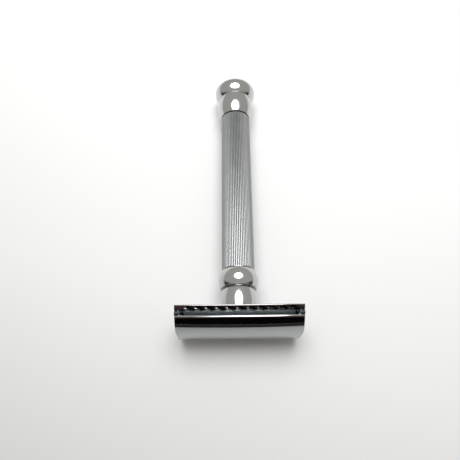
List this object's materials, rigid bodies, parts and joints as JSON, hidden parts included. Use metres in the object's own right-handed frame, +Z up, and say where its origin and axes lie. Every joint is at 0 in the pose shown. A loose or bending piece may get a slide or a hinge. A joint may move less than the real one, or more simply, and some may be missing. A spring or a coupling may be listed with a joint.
{
  "type": "safety razor",
  "caption": "Twist-to-open safety razor: domed butterfly doors over a bent double-edge blade, notched guard, long fluted handle with a twist knob at its end.",
  "frame": {"origin": "bottom centre of the bounding box, the razor lying on its side on z = 0 on the guard's long edge and the end knob", "axes": "+Z up; +Y along the handle, from the head towards the knob, which tips down a little; +X along the head's long side"},
  "size_m": [0.043, 0.1126, 0.0244],
  "materials": {
    "chrome": "bright chrome plate on cast brass",
    "guard_chrome": "bright chrome plate, darker in the cut notches",
    "grip_chrome": "chrome plate over fine lengthwise flutes",
    "satin_nickel": "satin nickel plate on stamped brass",
    "blade_steel": "stainless steel with ground and stropped edges",
    "inner_steel": "turned steel, lightly oiled",
    "brass": "turned brass",
    "seal_black": "black nitrile ring"
  },
  "bodies": {
    "handle": {"guard_plate": "guard_chrome", "hinge_bracket_left": "satin_nickel", "hinge_bracket_right": "satin_nickel", "neck_collar": "chrome", "front_ring": "chrome", "grip_tube": "grip_chrome", "stem_guide": "brass", "front_bush": "brass", "rear_bush": "brass", "end_seal": "seal_black"},
    "knob": {"twist_knob": "chrome", "drive_rod": "inner_steel", "retaining_clip": "inner_steel", "wave_washer": "inner_steel", "thrust_washer": "brass"},
    "carriage": {"centre_bar": "satin_nickel", "yoke_left": "satin_nickel", "yoke_right": "satin_nickel", "lift_stem": "inner_steel", "blade": "blade_steel"},
    "upper_door": {"door_upper": "chrome", "hinge_pins_upper": "inner_steel", "drive_pins_upper": "inner_steel"},
    "lower_door": {"door_lower": "chrome", "hinge_pins_lower": "inner_steel", "drive_pins_lower": "inner_steel"}
  },
  "joints": [
    {"name": "knob_twist", "type": "hinge", "parent": "handle", "child": "knob", "pos_m": [0, 0.05123, 0.00854], "axis": [0, 0.9993, -0.0367], "range_deg": [0, 540]},
    {"name": "carriage_lift", "type": "slide", "parent": "handle", "child": "carriage", "axis": [0, -0.9993, 0.0367], "range_m": [0, 0.0015]},
    {"name": "upper_door_hinge", "type": "hinge", "parent": "handle", "child": "upper_door", "pos_m": [0, -0.05, 0.02317], "axis": [-1, 0, 0], "range_deg": [0, 70]},
    {"name": "lower_door_hinge", "type": "hinge", "parent": "handle", "child": "lower_door", "pos_m": [0, -0.0508, 0.00138], "axis": [1, 0, 0], "range_deg": [0, 70]}
  ],
  "couplings": [
    {"joint": "carriage_lift", "follows": "knob_twist", "m_per_rad": 0.00015915},
    {"joint": "upper_door_hinge", "follows": "knob_twist", "ratio": 0.12963},
    {"joint": "lower_door_hinge", "follows": "knob_twist", "ratio": 0.12963}
  ]
}
